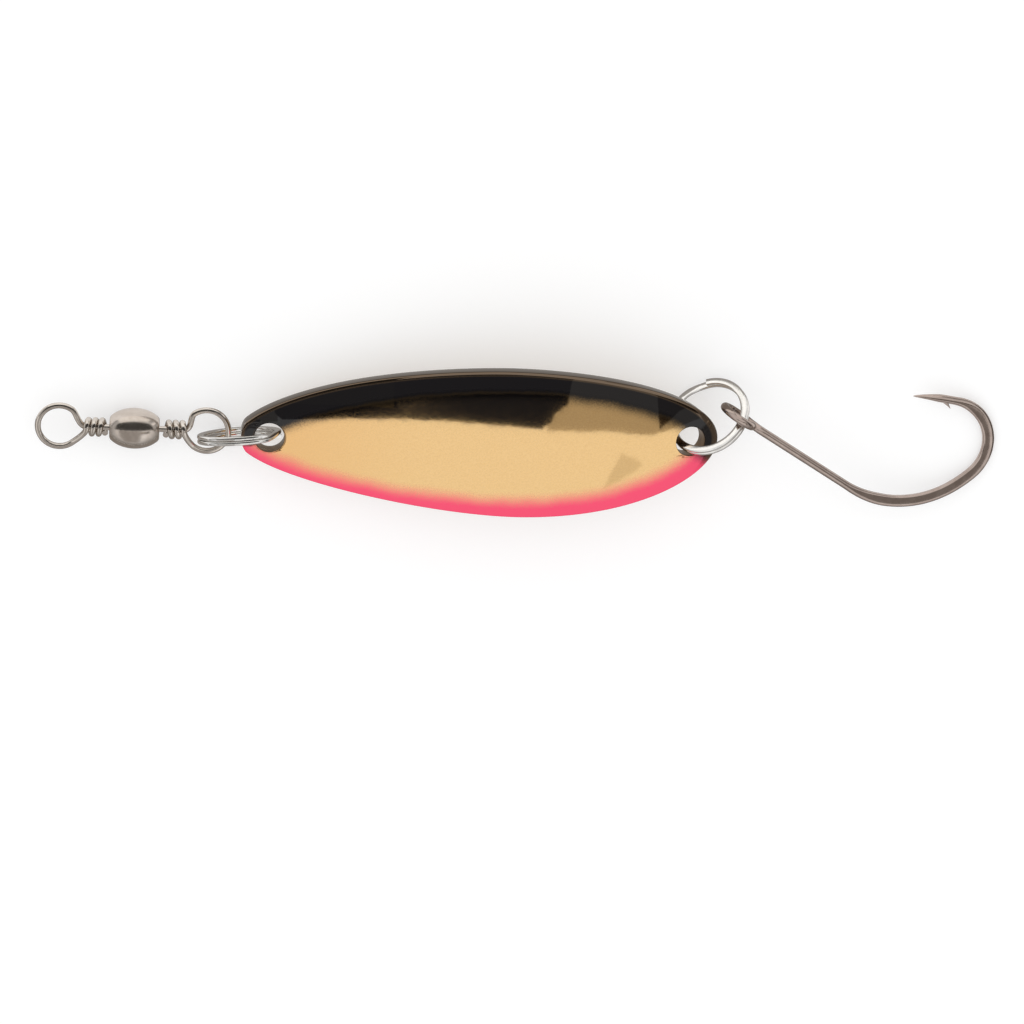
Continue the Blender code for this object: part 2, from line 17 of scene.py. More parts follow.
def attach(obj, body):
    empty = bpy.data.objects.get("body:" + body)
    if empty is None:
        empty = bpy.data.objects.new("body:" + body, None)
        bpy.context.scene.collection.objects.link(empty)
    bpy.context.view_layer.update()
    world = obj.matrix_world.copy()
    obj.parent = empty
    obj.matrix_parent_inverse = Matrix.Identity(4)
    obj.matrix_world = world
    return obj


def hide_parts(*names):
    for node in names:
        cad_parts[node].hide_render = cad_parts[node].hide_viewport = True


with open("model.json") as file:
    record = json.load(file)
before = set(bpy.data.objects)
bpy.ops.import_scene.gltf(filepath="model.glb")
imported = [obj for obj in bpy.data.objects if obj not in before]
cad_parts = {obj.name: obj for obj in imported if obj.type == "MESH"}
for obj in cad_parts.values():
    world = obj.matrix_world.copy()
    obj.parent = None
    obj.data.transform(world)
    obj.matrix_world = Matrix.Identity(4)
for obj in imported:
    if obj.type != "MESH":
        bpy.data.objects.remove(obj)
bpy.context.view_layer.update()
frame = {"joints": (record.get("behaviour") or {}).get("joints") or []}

MM = 0.001
SAME_PLACE = 0.0005  # points of a wire nearer to each other than this are merged
ROUND_WIRE_RESOLUTION = 6

BLADE_AT = Vector((-3.0581, 0.2370, 3.4381))  # where the blade's own middle lies in the frame
BLADE_LENGTH = 38.6
BLADE_WIDTH = 12.4
BLADE_THICKNESS = 1.6
BLADE_EDGE_RADIUS = 0.3
SHARP_EDGE = math.radians(50)  # edges that turn by more are rounded
BLADE_ARCH = 1.4
BLADE_TAIL_RISE = 2.4
BLADE_CROWN = 0.32
WIDEST_AT = 0.15
FRONT_FULLNESS = 1.7
FRONT_SHARPNESS = 0.575
FRONT_BLUNTNESS = 0.02
FRONT_CORNER = 0.02  # the share of the front that its rounded corners take
HOLE_RADIUS = 1.225
HOLE_FLARE = 0.12
HOLES_AT = (-16.955, 17.095)
FLARE_ANGLES = (0, 22, 45, 68, 90)
HOLE_SIDES = 72
BLADE_SIDES = 240
BLADE_TURN = 0.5  # keeps the points of the blade off its two tips
BLADE_LOOPS = 30
EDGE_STEPS = 5
RIM_POINTS = 8000
FRONT_PAINT_FROM = 0.35
BLACK_WIDER_BY = 0.3
PINK_NARROWER_BY = 0.55
BACK_FACES_BELOW = -0.6
WALL_FACES_UNDER = 0.8
NEAR_HOLE = 1.3  # how many hole radii still belong to a hole's wall

RING_RADIUS = 3.16
RING_WIRE_WIDTH = 0.58
RING_WIRE_HEIGHT = 0.34
RING_WIRE_ROUNDING = 0.13
RING_TURN_GAP = 0.04
RING_JOG = math.radians(44)
RING_END_GAP = math.radians(4)
RING_STEPS = 320
FRONT_RING_OUT = Vector((-0.996, -0.060, 0.030))  # the direction that the ring's angles start from
FRONT_RING_JOG_AT = math.radians(150)
REAR_RING_OUT = Vector((0.766, 0.604, -0.220))
REAR_RING_JOG_AT = math.radians(-84)

BARREL_LENGTH = 4.05
BARREL_RADIUS = 1.675
BARREL_END_RADIUS = 0.9
BARREL_WALL = 0.36
BARREL_BORE = 0.33
BARREL_ROUND_OVER = 0.07
BARREL_CHAMFER = 0.05
BARREL_SIDES = 96
EYE_WIRE_RADIUS = 0.25
EYE_LOOP_RADIUS = 1.76
EYE_LOOP_OPENING = math.radians(54)
WRAP_TURNS = 2.75
WRAP_PITCH = 0.56
WRAP_RADIUS = 0.56
WRAP_STARTS_AT = math.radians(100)
HEAD_RADIUS = 0.625
HEAD_LENGTH = 0.5
HEAD_CLEARANCE = 0.1
HEAD_END_SHARE = 0.72  # how wide the head is at its ends
HEAD_FULLNESS = 5
HEAD_STEP = 0.03  # the length over which the head steps down to the wire
LINE_EYE_STANDOFF = 0.12
RING_EYE_STANDOFF = 0.28
LINE_EYE_REACH = 2.2
RING_EYE_REACH = 1.82
THROAT_START = 0.1
LEG_EASE = 0.8
LOOP_EASE = 0.5
WRAP_EASE = 0.35
HEAD_STEPS = 12
EASE_STEPS = 20
LOOP_STEPS = 80
WRAP_STEPS = 110

HOOK_WIRE_RADIUS = 0.34
HOOK_FORGED_WIDTH = 0.98
HOOK_FORGED_HEIGHT = 0.56
HOOK_EYE_RADIUS = 1.36
HOOK_EYE_CLEARANCE = 0.06
HOOK_EYE_THROAT = math.radians(38)
HOOK_SHANK = 11.6
HOOK_SHANK_FROM = 0.25  # the share of the shank where the eye's throat has ended
HOOK_SLACK = 0.5
HOOK_HEADING = math.radians(-36.2)
HOOK_DIP = math.radians(13.4)
HOOK_BEND = (
    (8.4, math.radians(62.5)),
    (10.3, math.radians(11.3)),
    (3.6, math.radians(126.0)),
    (23.0, math.radians(9.8)),
)
HOOK_EYE_STEPS = 72
HOOK_THROAT_STEPS = 10
HOOK_SHANK_STEPS = 24
HOOK_BEND_STEP = math.radians(2)
HOOK_BEND_LEAST_STEPS = 16
HOOK_SIDES = 32
HOOK_FORGED_FROM = 0.75  # how far down the shank the hook starts to be flat
HOOK_FORGED_IN = 4 * HOOK_FORGED_WIDTH  # the length over which it gets flat
HOOK_FORGED_OUT = 3 * HOOK_FORGED_WIDTH  # the length over which it gets round again
HOOK_SQUARENESS = 1.3
HOOK_POINT_TAPER = 2.3
HOOK_TAPER_POWER = 0.75
HOOK_TIP_RADIUS = 0.03
BARB_FROM_TIP = 3.35
BARB_LENGTH = 1.5
BARB_HEIGHT = 0.42
BARB_FOOT = 0.32  # the barb's half length at its foot, as a share of its whole length
BARB_FOOT_AHEAD = 0.7  # how much nearer to the hook's point its foot is than its tip, in the same share
BARB_FOOT_DEPTH = 0.45  # how far out its foot lies, as a share of the wire's radius
BARB_HALF_WIDTH = 0.15
BARB_SAG = 0.12  # how far the barb's middle bends off the straight line from foot to tip
BARB_SAG_ALONG = 0.4  # the share of the sag that goes away from the hook's point
BARB_SAG_INWARD = 0.5  # the share that goes towards the wire
BARB_SIDES = 20
BARB_CUTS = 3

CAMERA_TILT = math.radians(20)  # from straight above towards the blade's upper edge
PIXEL = 0.0815  # millimetres of the object in one pixel of the photograph
PHOTO_SIDE = 1024
BLADE_PIXEL = (477.5, 435)  # where the middle of the blade lies in the photograph
CAMERA_DISTANCE = 700.0

FLOOR_SIDE = 4.0  # metres
FLOOR_COLOUR = (0.65, 0.65, 0.65)
FLOOR_LIFT = 0.39
HORIZON_LIGHT = 0.25  # how bright the horizon is in reflections
FULL_SKY_FROM = 0.7  # the height of a direction, from 0 to 1, from which the sky is fully white


# Hand tools ---------------------------------------------------------------------------------------

def pick(*objects):
    """Selects these objects alone and makes the first one active."""
    bpy.ops.object.select_all(action="DESELECT")
    for one in objects:
        one.select_set(True)
    bpy.context.view_layer.objects.active = objects[0]


def new_piece(name):
    """Names the object that an operator has just added."""
    piece = bpy.context.object
    piece.name = name
    piece.data.name = name
    return piece


def apply_modifiers(piece):
    pick(piece)
    for modifier in list(piece.modifiers):
        bpy.ops.object.modifier_apply(modifier=modifier.name)


@contextmanager
def editing(select="SELECT"):
    """Edit mode on the active piece, with all of it selected unless told otherwise."""
    bpy.ops.object.mode_set(mode="EDIT")
    bpy.ops.mesh.select_all(action=select)
    yield
    bpy.ops.object.mode_set(mode="OBJECT")


def move_points(piece, place):
    """Gives every vertex the place that a function makes of its old one."""
    for vertex in piece.data.vertices:
        vertex.co = place(vertex.co)


def settle(piece, matrix, smooth_angle=35):
    """Brings a piece from millimetres at its bench place to metres at its place in the frame."""
    pick(piece)
    piece.matrix_world = Matrix.Scale(MM, 4) @ matrix
    bpy.ops.object.transform_apply(location=True, rotation=True, scale=True)
    with editing():
        bpy.ops.mesh.normals_make_consistent(inside=False)
    bpy.ops.object.shade_smooth_by_angle(angle=math.radians(smooth_angle))


def axes_matrix(right, ahead, up, at):
    """The place of a piece whose own X, Y and Z point along three directions."""
    matrix = Matrix((right, ahead, up)).transposed().to_4x4()
    matrix.translation = at
    return matrix


def joint_place(node):
    """The axis of the joint that moves a node, and where it lies, in millimetres."""
    joint = next(j for j in frame["joints"] if j["child"] == node)
    return Vector(joint["axis"]), Vector(joint["pos_m"]) / MM


def clamp(value):
    return min(max(value, 0.0), 1.0)


def eased(share):
    """A share from 0 to 1 that starts and ends softly."""
    share = clamp(share)
    return share * share * (3 - 2 * share)


def dress(piece, node, material):
    """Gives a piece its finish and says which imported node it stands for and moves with."""
    if material:
        piece.data.materials.clear()
        piece.data.materials.append(material)
    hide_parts(node)
    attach(piece, node)


def wire(name, path, radii, twist="MINIMUM", section=None):
    """A wire drawn along a path of points, as a curve that is then made a mesh."""
    bpy.ops.object.select_all(action="DESELECT")
    bpy.ops.curve.primitive_nurbs_path_add()
    piece = new_piece(name)
    curve = piece.data
    curve.splines.clear()
    spline = curve.splines.new("POLY")
    spline.points.add(len(path) - 1)
    for point, at, radius in zip(spline.points, path, radii):
        point.co = (*at, 1.0)
        point.radius = radius
    curve.dimensions = "3D"
    curve.twist_mode = twist
    curve.use_fill_caps = True
    if section:
        curve.bevel_mode = "OBJECT"
        curve.bevel_object = section
    else:
        curve.bevel_depth = 1.0
        curve.bevel_resolution = ROUND_WIRE_RESOLUTION
    pick(piece)
    bpy.ops.object.convert(target="MESH")
    with editing():
        bpy.ops.mesh.remove_doubles(threshold=SAME_PLACE)
    return bpy.context.object


def bezier(a, b, c, d, steps):
    """Points along a cubic curve from a to d, without a itself."""
    return [
        a * (1 - t) ** 3 + b * (3 * (1 - t) ** 2 * t) + c * (3 * (1 - t) * t * t) + d * t**3
        for t in (i / steps for i in range(1, steps + 1))
    ]


def lathe(name, profile, sides):
    """Turns a profile of (height, radius) about Z: a circle is extruded from each place to the next."""
    bpy.ops.object.select_all(action="DESELECT")
    first_height, radius = profile[0]
    bpy.ops.mesh.primitive_circle_add(vertices=sides, radius=radius, location=(0, 0, first_height))
    piece = new_piece(name)
    bpy.ops.object.transform_apply(location=True)
    with editing():
        for (low, before), (high, after) in zip(profile, profile[1:]):
            bpy.ops.mesh.extrude_region_move(TRANSFORM_OT_translate={"value": (0, 0, high - low)})
            share = after / before
            bpy.ops.transform.resize(value=(share, share, 1), center_override=(0, 0, high))
    return piece


# Blade --------------------------------------------------------------------------------------------

def half_width(u):
    """Half the blade's width, with u from -1 at the front to 1 at the rear."""
    if u > WIDEST_AT:
        v = (u - WIDEST_AT) / (1 - WIDEST_AT)
        return BLADE_WIDTH / 2 * math.sqrt(max(1 - v * v, 0.0))
    v = (WIDEST_AT - u) / (1 + WIDEST_AT)
    corner = max((v - 1) / FRONT_CORNER + 1, 0.0) ** 2
    v = v * (1 - FRONT_BLUNTNESS) + FRONT_BLUNTNESS * min(corner, 1.0)
    return BLADE_WIDTH / 2 * max(1 - v**FRONT_FULLNESS, 0.0) ** FRONT_SHARPNESS


def blade_height(x, y):
    """How high the middle of the blade's thickness lies: its S-curve and its crown."""
    u = 2 * x / BLADE_LENGTH
    arch = (1 - u * u) * (BLADE_ARCH + BLADE_TAIL_RISE * u)
    crown = half_width(min(max(u, -1.0), 1.0)) ** 2 - y * y
    return arch + BLADE_CROWN * crown / (BLADE_WIDTH / 2) ** 2


def blade_normal(x, y):
    """The way up from the blade at a place, from its slopes over a short step."""
    step = 0.05
    along = Vector((2 * step, 0.0, blade_height(x + step, y) - blade_height(x - step, y)))
    across = Vector((0.0, 2 * step, blade_height(x, y + step) - blade_height(x, y - step)))
    return along.cross(across).normalized()


def outline(turn):
    """A point of the blade's edge: turn 0 is the rear tip, pi the front."""
    u = math.cos(turn)
    return Vector((u * BLADE_LENGTH / 2, math.copysign(half_width(u), math.sin(turn)), 0.0))


def hole_punch(x):
    """A round cutter that widens in a quarter curve where it leaves either face of the blade."""
    reach = BLADE_THICKNESS / 2
    arc = [math.radians(a) for a in FLARE_ANGLES]
    flare = [
        (reach - HOLE_FLARE + HOLE_FLARE * math.sin(a), HOLE_RADIUS + HOLE_FLARE * (1 - math.cos(a)))
        for a in arc
    ]
    past = 0.3
    flare.append((reach + past, HOLE_RADIUS + HOLE_FLARE + past))
    profile = [(-height, radius) for height, radius in reversed(flare)] + flare
    cutter = lathe("hole_punch", profile, HOLE_SIDES)
    with editing():
        bpy.ops.mesh.fill_holes(sides=0)
        bpy.ops.mesh.select_all(action="SELECT")
        bpy.ops.mesh.normals_make_consistent(inside=False)
    normal = blade_normal(x, 0.0)
    across = Vector((0.0, 1.0, 0.0))
    at = Vector((x, 0.0, blade_height(x, 0.0)))
    cutter.matrix_world = axes_matrix(across.cross(normal), across, normal, at)
    return cutter


def edge_distances(piece, side):
    """How far each point lies from one long edge of the blade, in millimetres, seen from above."""
    turns = np.linspace(0.0, math.pi, RIM_POINTS)
    rim = KDTree(len(turns))
    for i, turn in enumerate(turns):
        rim.insert(outline(side * turn), i)
    rim.balance()
    return np.array([rim.find((v.co.x, v.co.y, 0.0))[2] for v in piece.data.vertices])


def store(piece, name, values):
    attribute = piece.data.attributes.new(name, "FLOAT", "POINT")
    attribute.data.foreach_set("value", values.astype(np.float32))


def mark_edges(blade):
    """Stores how far each point lies from the sprayed edges, for the paint.

    Towards the front the black band gets wider and keeps to its own half, and the pink one narrower.
    """
    black_side = edge_distances(blade, 1)
    pink_side = edge_distances(blade, -1)
    along = np.array([vertex.co.x for vertex in blade.data.vertices]) * 2 / BLADE_LENGTH
    front = np.clip(FRONT_PAINT_FROM - along, 0.0, 1.0)
    past_middle = np.maximum(black_side - pink_side, 0.0)
    store(blade, "from_edge", np.minimum(black_side, pink_side))
    store(blade, "from_black_edge", black_side + front * (3 * past_middle - BLACK_WIDER_BY))
    store(blade, "from_pink_edge", pink_side + front * PINK_NARROWER_BY)


def blade_plate():
    """The solid blade: rings of points from the rim to the middle, bent, thickened and rounded."""
    bpy.ops.object.select_all(action="DESELECT")
    bpy.ops.mesh.primitive_circle_add(vertices=BLADE_SIDES, radius=1.0, rotation=(0, 0, BLADE_TURN))
    blade = new_piece("spoon_blade")
    bpy.ops.object.transform_apply(rotation=True)
    shares = [1 - k / BLADE_LOOPS for k in range(BLADE_LOOPS)]
    with editing():
        for before, after in zip(shares, shares[1:]):
            bpy.ops.mesh.extrude_region_move()
            bpy.ops.transform.resize(value=(after / before, after / before, 1), center_override=(0, 0, 0))
        bpy.ops.mesh.edge_face_add()
        bpy.ops.mesh.poke()

    def bend(old):
        flat = outline(math.atan2(old.y, old.x)) * old.xy.length
        return (flat.x, flat.y, blade_height(flat.x, flat.y))

    move_points(blade, bend)
    plate = blade.modifiers.new("plate", "SOLIDIFY")
    plate.thickness = BLADE_THICKNESS
    plate.offset = 0.0
    plate.use_even_offset = True
    rounding = blade.modifiers.new("rounding", "BEVEL")
    rounding.limit_method = "ANGLE"
    rounding.angle_limit = SHARP_EDGE
    rounding.width = BLADE_EDGE_RADIUS
    rounding.segments = EDGE_STEPS
    apply_modifiers(blade)
    return blade


def cut_holes(blade):
    for x in HOLES_AT:
        cutter = hole_punch(x)
        cut = blade.modifiers.new("hole", "BOOLEAN")
        cut.operation = "DIFFERENCE"
        cut.solver = "EXACT"
        cut.object = cutter
        apply_modifiers(blade)
        bpy.data.objects.remove(cutter)


def in_hole_wall(side):
    """Whether a face lies in one of the two holes, by its place and by which way it looks."""
    for x in HOLES_AT:
        centre = Vector((x, 0.0, blade_height(x, 0.0)))
        near = (side.center - centre).length < HOLE_RADIUS * NEAR_HOLE
        if near and abs(side.normal.dot(blade_normal(x, 0.0))) < WALL_FACES_UNDER:
            return True
    return False


def on_back(side):
    middle = side.center
    return middle.z < blade_height(middle.x, middle.y) and side.normal.z < BACK_FACES_BELOW


def spoon_blade(face, back, wall):
    """The blade, with its finishes on its face and on its back, and painted shade in the walls of its holes.
    """
    blade = blade_plate()
    cut_holes(blade)
    mark_edges(blade)
    blade.data.materials.clear()
    # the third finish, for the walls of the holes, is painted shade
    for material in (face, back, wall):
        blade.data.materials.append(material)
    for side in blade.data.polygons:
        side.material_index = 2 if in_hole_wall(side) else 1 if on_back(side) else 0
    settle(blade, Matrix.Translation(BLADE_AT))
    dress(blade, "blade", None)
    return blade


# Split rings --------------------------------------------------------------------------------------

def wire_section():
    """The flattened wire of a split ring, as a closed curve with rounded corners."""
    bpy.ops.object.select_all(action="DESELECT")
    bpy.ops.mesh.primitive_plane_add(size=1.0)
    section = new_piece("wire_section")
    section.scale = (RING_WIRE_WIDTH, RING_WIRE_HEIGHT, 1.0)
    bpy.ops.object.transform_apply(scale=True)
    with editing():
        bpy.ops.mesh.bevel(offset=RING_WIRE_ROUNDING, segments=EDGE_STEPS, affect="VERTICES")
        bpy.ops.mesh.delete(type="ONLY_FACE")
    bpy.ops.object.convert(target="CURVE")
    return bpy.context.object


def split_ring(name, node, out, jog_at, material):
    """Two turns of wire that lie on each other. Halfway along, the wire steps from one to the other."""
    axis, at = joint_place(node)
    out = (out - axis * out.dot(axis)).normalized()
    first = RING_JOG / 2 + RING_END_GAP
    last = 4 * math.pi - first
    pitch = RING_WIRE_HEIGHT + RING_TURN_GAP
    path = []
    for i in range(RING_STEPS + 1):
        turn = first + (last - first) * i / RING_STEPS
        rise = pitch * (eased((turn - 2 * math.pi) / RING_JOG + 0.5) - 0.5)
        angle = jog_at + turn
        path.append(Vector((RING_RADIUS * math.cos(angle), RING_RADIUS * math.sin(angle), rise)))
    section = wire_section()
    ring = wire(name, path, [1.0] * len(path), "Z_UP", section)
    bpy.data.objects.remove(section)
    settle(ring, axes_matrix(out, axis.cross(out), axis, at), smooth_angle=30)
    dress(ring, node, material)
    return ring


# Swivel -------------------------------------------------------------------------------------------

def swivel_matrix():
    """The barrel's place, with X along it towards the ring eye."""
    axis, at = joint_place("swivel_barrel")
    up = Vector((0.0, 0.0, 1.0))
    return axes_matrix(axis, up.cross(axis), up, at)


def swivel_barrel(material):
    """A hollow barrel, turned from one profile that runs over the outside, in at one end and out again."""
    half = BARREL_LENGTH / 2
    semi = half / math.sqrt(1 - (BARREL_END_RADIUS / BARREL_RADIUS) ** 2)

    def outer(along):
        return BARREL_RADIUS * math.sqrt(1 - (along / semi) ** 2)

    shoulder = half - BARREL_ROUND_OVER
    heights = [shoulder * math.sin(math.radians(a)) for a in range(-90, 91, 6)]
    profile = [(h, outer(h)) for h in heights]
    corner = [math.radians(a) for a in (30, 60, 90)]
    end = [
        (
            shoulder + BARREL_ROUND_OVER * math.sin(a),
            BARREL_END_RADIUS - BARREL_ROUND_OVER * (1 - math.cos(a)),
        )
        for a in corner
    ]
    mouth = [(half, BARREL_BORE + BARREL_CHAMFER), (half - BARREL_CHAMFER, BARREL_BORE)]
    edge = half - BARREL_WALL
    inside = [edge * math.cos(math.radians(a)) for a in range(0, 181, 12)]
    profile += end + mouth + [(edge, BARREL_BORE)]
    profile += [(h, outer(h) - BARREL_WALL) for h in inside]
    profile += [(-edge, BARREL_BORE)] + [(-h, r) for h, r in reversed(mouth)]
    profile += [(-h, r) for h, r in reversed(end)]
    barrel = lathe("barrel", profile, BARREL_SIDES)
    with editing(select="DESELECT"):
        bpy.ops.mesh.select_non_manifold()
        bpy.ops.mesh.bridge_edge_loops()
    settle(barrel, swivel_matrix() @ Matrix.Rotation(math.pi / 2, 4, "Y"), smooth_angle=30)
    dress(barrel, "swivel_barrel", material)
    return barrel


def eye_path(standoff, reach):
    """The middle of an eye's wire, with its radius at each point, along the barrel's axis."""
    outer_end = BARREL_LENGTH / 2 + standoff + EYE_WIRE_RADIUS + WRAP_TURNS * WRAP_PITCH
    head_from = BARREL_LENGTH / 2 - BARREL_WALL - HEAD_CLEARANCE - HEAD_LENGTH
    straight = []
    for i in range(HEAD_STEPS + 1):
        share = 2 * i / HEAD_STEPS - 1
        bulge = max(1 - abs(share) ** HEAD_FULLNESS, 0.0) ** 0.5
        radius = HEAD_RADIUS * (HEAD_END_SHARE + (1 - HEAD_END_SHARE) * bulge)
        straight.append((head_from + HEAD_LENGTH * (share + 1) / 2, radius))
    shank = (
        head_from + HEAD_LENGTH + HEAD_STEP, BARREL_LENGTH / 2, outer_end - WRAP_RADIUS,
        outer_end - THROAT_START,
    )
    straight += [(along, EYE_WIRE_RADIUS) for along in shank]
    path = [Vector((along, 0.0, 0.0)) for along, _ in straight]

    centre = Vector((outer_end + reach, 0.0, 0.0))
    turned_in = math.pi - EYE_LOOP_OPENING

    def loop(angle):
        return centre + Vector((math.cos(angle), math.sin(angle), 0.0)) * EYE_LOOP_RADIUS

    def loop_way(angle):
        return Vector((math.sin(angle), -math.cos(angle), 0.0))

    leg_end = path[-1] + Vector((LEG_EASE, 0.0, 0.0))
    joining = loop(turned_in) - loop_way(turned_in) * LOOP_EASE
    path += bezier(path[-1], leg_end, joining, loop(turned_in), EASE_STEPS)
    path += [loop(turned_in * (1 - 2 * i / LOOP_STEPS)) for i in range(1, LOOP_STEPS + 1)]
    coil = []
    for i in range(WRAP_STEPS + 1):
        turned = i / WRAP_STEPS * WRAP_TURNS
        angle = WRAP_STARTS_AT - 2 * math.pi * turned
        coil.append(Vector((
            outer_end - turned * WRAP_PITCH, WRAP_RADIUS * math.cos(angle), WRAP_RADIUS * math.sin(angle),
        )))
    leaving = path[-1] + loop_way(-turned_in) * WRAP_EASE
    arriving = coil[0] - (coil[1] - coil[0]).normalized() * WRAP_EASE
    path += bezier(path[-1], leaving, arriving, coil[0], EASE_STEPS) + coil[1:]
    radii = [radius for _, radius in straight]
    return path, radii + [EYE_WIRE_RADIUS] * (len(path) - len(radii))


def swivel_eye(name, node, way, standoff, reach, material):
    """One wire: its head in the barrel, the shank, the loop, and the wraps back towards the barrel."""
    path, radii = eye_path(standoff, reach)
    side = Matrix.Diagonal((way, 1.0, 1.0))
    piece = wire(name, [side @ point for point in path], radii)
    settle(piece, swivel_matrix(), smooth_angle=45)
    dress(piece, node, material)
    return piece


# Hook ---------------------------------------------------------------------------------------------

def heading_way(heading):
    """The direction of a heading in the hook's bend plane."""
    return Vector((math.cos(heading), math.sin(heading), 0.0))


def hook_line():
    """The hook's middle line in its bend plane, from the end of its eye to its point, with headings."""
    shank = heading_way(HOOK_HEADING)
    up = Vector((0.0, 0.0, 1.0))
    eye = -shank * HOOK_SLACK
    start = math.asin((2 * HOOK_WIRE_RADIUS + HOOK_EYE_CLEARANCE) / (HOOK_EYE_RADIUS + HOOK_WIRE_RADIUS))
    sweep = 2 * math.pi - start - HOOK_EYE_THROAT
    line = []
    for i in range(HOOK_EYE_STEPS + 1):
        angle = start + sweep * i / HOOK_EYE_STEPS
        out = shank * math.cos(angle) + up * math.sin(angle)
        line.append((eye + out * HOOK_EYE_RADIUS, HOOK_HEADING))
    drop = HOOK_EYE_RADIUS * math.sin(HOOK_EYE_THROAT)
    for i in range(1, HOOK_THROAT_STEPS + 1):
        share = i / HOOK_THROAT_STEPS
        along = HOOK_EYE_RADIUS * (math.cos(HOOK_EYE_THROAT) + share)
        line.append((eye + shank * along - up * (drop * (1 - share) ** 2), HOOK_HEADING))
    for share in np.linspace(HOOK_SHANK_FROM, 1.0, HOOK_SHANK_STEPS):
        line.append((eye + shank * (HOOK_SHANK * float(share)), HOOK_HEADING))
    point, heading = line[-1]
    for radius, turn in HOOK_BEND:
        centre = point + heading_way(heading + math.pi / 2) * radius
        count = max(round(turn / HOOK_BEND_STEP), HOOK_BEND_LEAST_STEPS)
        for i in range(1, count + 1):
            spun = heading + turn * i / count
            line.append((centre - heading_way(spun + math.pi / 2) * radius, spun))
        point, heading = line[-1]
    return line


def squared_circle(turn, power):
    """A point of a rounded square of half side one; power 2 is a circle."""
    c, s = math.cos(turn), math.sin(turn)
    return (
        math.copysign(abs(c) ** (2 / power), c),
        math.copysign(abs(s) ** (2 / power), s),
    )


def hook_half_size(full, forged, taper):
    """Half the wire's width or height: round or forged, and thinner towards the tip."""
    body = HOOK_WIRE_RADIUS + (full / 2 - HOOK_WIRE_RADIUS) * forged
    return HOOK_TIP_RADIUS + (body - HOOK_TIP_RADIUS) * taper


def fish_hook(material):
    """The hook's wire: a disc drawn out one step for each point of the line, then laid along it."""
    line = hook_line()
    path = [point for point, _ in line]
    travelled = [0.0]
    for a, b in zip(path, path[1:]):
        travelled.append(travelled[-1] + (b - a).length)
    forged_from = 2 * math.pi * HOOK_EYE_RADIUS + HOOK_SHANK * HOOK_FORGED_FROM

    bpy.ops.object.select_all(action="DESELECT")
    bpy.ops.mesh.primitive_circle_add(vertices=HOOK_SIDES, radius=1.0, fill_type="NGON")
    hook = new_piece("fish_hook")
    with editing():
        for _ in path[1:]:
            bpy.ops.mesh.extrude_region_move(TRANSFORM_OT_translate={"value": (0, 0, 1.0)})

    def place(old):
        i = round(old.z)
        point, heading = line[i]
        before, after = path[max(i - 1, 0)], path[min(i + 1, len(path) - 1)]
        inner = Vector((-math.sin(heading), math.cos(heading), 0.0))
        side = (after - before).cross(inner).normalized()
        to_tip = travelled[-1] - travelled[i]
        from_shank = clamp((travelled[i] - forged_from) / HOOK_FORGED_IN)
        from_barb = clamp((to_tip - BARB_FROM_TIP) / HOOK_FORGED_OUT)
        forged = eased(from_shank * from_barb)
        taper = clamp(to_tip / HOOK_POINT_TAPER) ** HOOK_TAPER_POWER
        wide = hook_half_size(HOOK_FORGED_WIDTH, forged, taper)
        high = hook_half_size(HOOK_FORGED_HEIGHT, forged, taper)
        a, b = squared_circle(math.atan2(old.y, old.x), 2 + HOOK_SQUARENESS * forged)
        return point + inner * (wide * a) + side * (high * b)

    move_points(hook, place)
    add_barb(hook, line)
    _, at = joint_place("hook")
    level = Vector((math.cos(HOOK_DIP), 0.0, -math.sin(HOOK_DIP)))
    across = Vector((0.0, 1.0, 0.0))
    settle(hook, axes_matrix(level, across, level.cross(across), at), smooth_angle=40)
    dress(hook, "hook", material)
    return hook


def add_barb(hook, line):
    """A sliver raised from the wire behind the point, joined to it with a Boolean."""
    back = 0.0
    for (a, _), (root, heading) in zip(reversed(line), reversed(line[:-1])):
        back += (a - root).length
        if back >= BARB_FROM_TIP:
            break
    bpy.ops.object.select_all(action="DESELECT")
    bpy.ops.mesh.primitive_cone_add(
        vertices=BARB_SIDES, radius1=1.0, radius2=0.0, depth=1.0, location=(0, 0, 0.5)
    )
    barb = new_piece("barb")
    bpy.ops.object.transform_apply(location=True)
    half = HOOK_WIRE_RADIUS
    foot = Vector((BARB_LENGTH * BARB_FOOT_AHEAD, half * BARB_FOOT_DEPTH))
    tip = Vector((0.0, half + BARB_HEIGHT))

    def shape(old):
        share = old.z
        middle = foot.lerp(tip, share)
        sag = BARB_SAG * share * (1 - share) * 4
        half_length = BARB_LENGTH * BARB_FOOT * (1 - share * 0.1)
        along = middle.x - sag * BARB_SAG_ALONG + old.x * half_length
        out = middle.y - sag * BARB_SAG_INWARD
        return (along, out, old.y * BARB_HALF_WIDTH)

    with editing():
        bpy.ops.mesh.subdivide(number_cuts=BARB_CUTS)
    move_points(barb, shape)
    toward = heading_way(heading)
    inner = Vector((-toward.y, toward.x, 0.0))
    barb.matrix_world = axes_matrix(toward, inner, toward.cross(inner), root)
    join = hook.modifiers.new("barb", "BOOLEAN")
    join.operation = "UNION"
    join.solver = "EXACT"
    join.object = barb
    apply_modifiers(hook)
    bpy.data.objects.remove(barb)


# Finishes -----------------------------------------------------------------------------------------

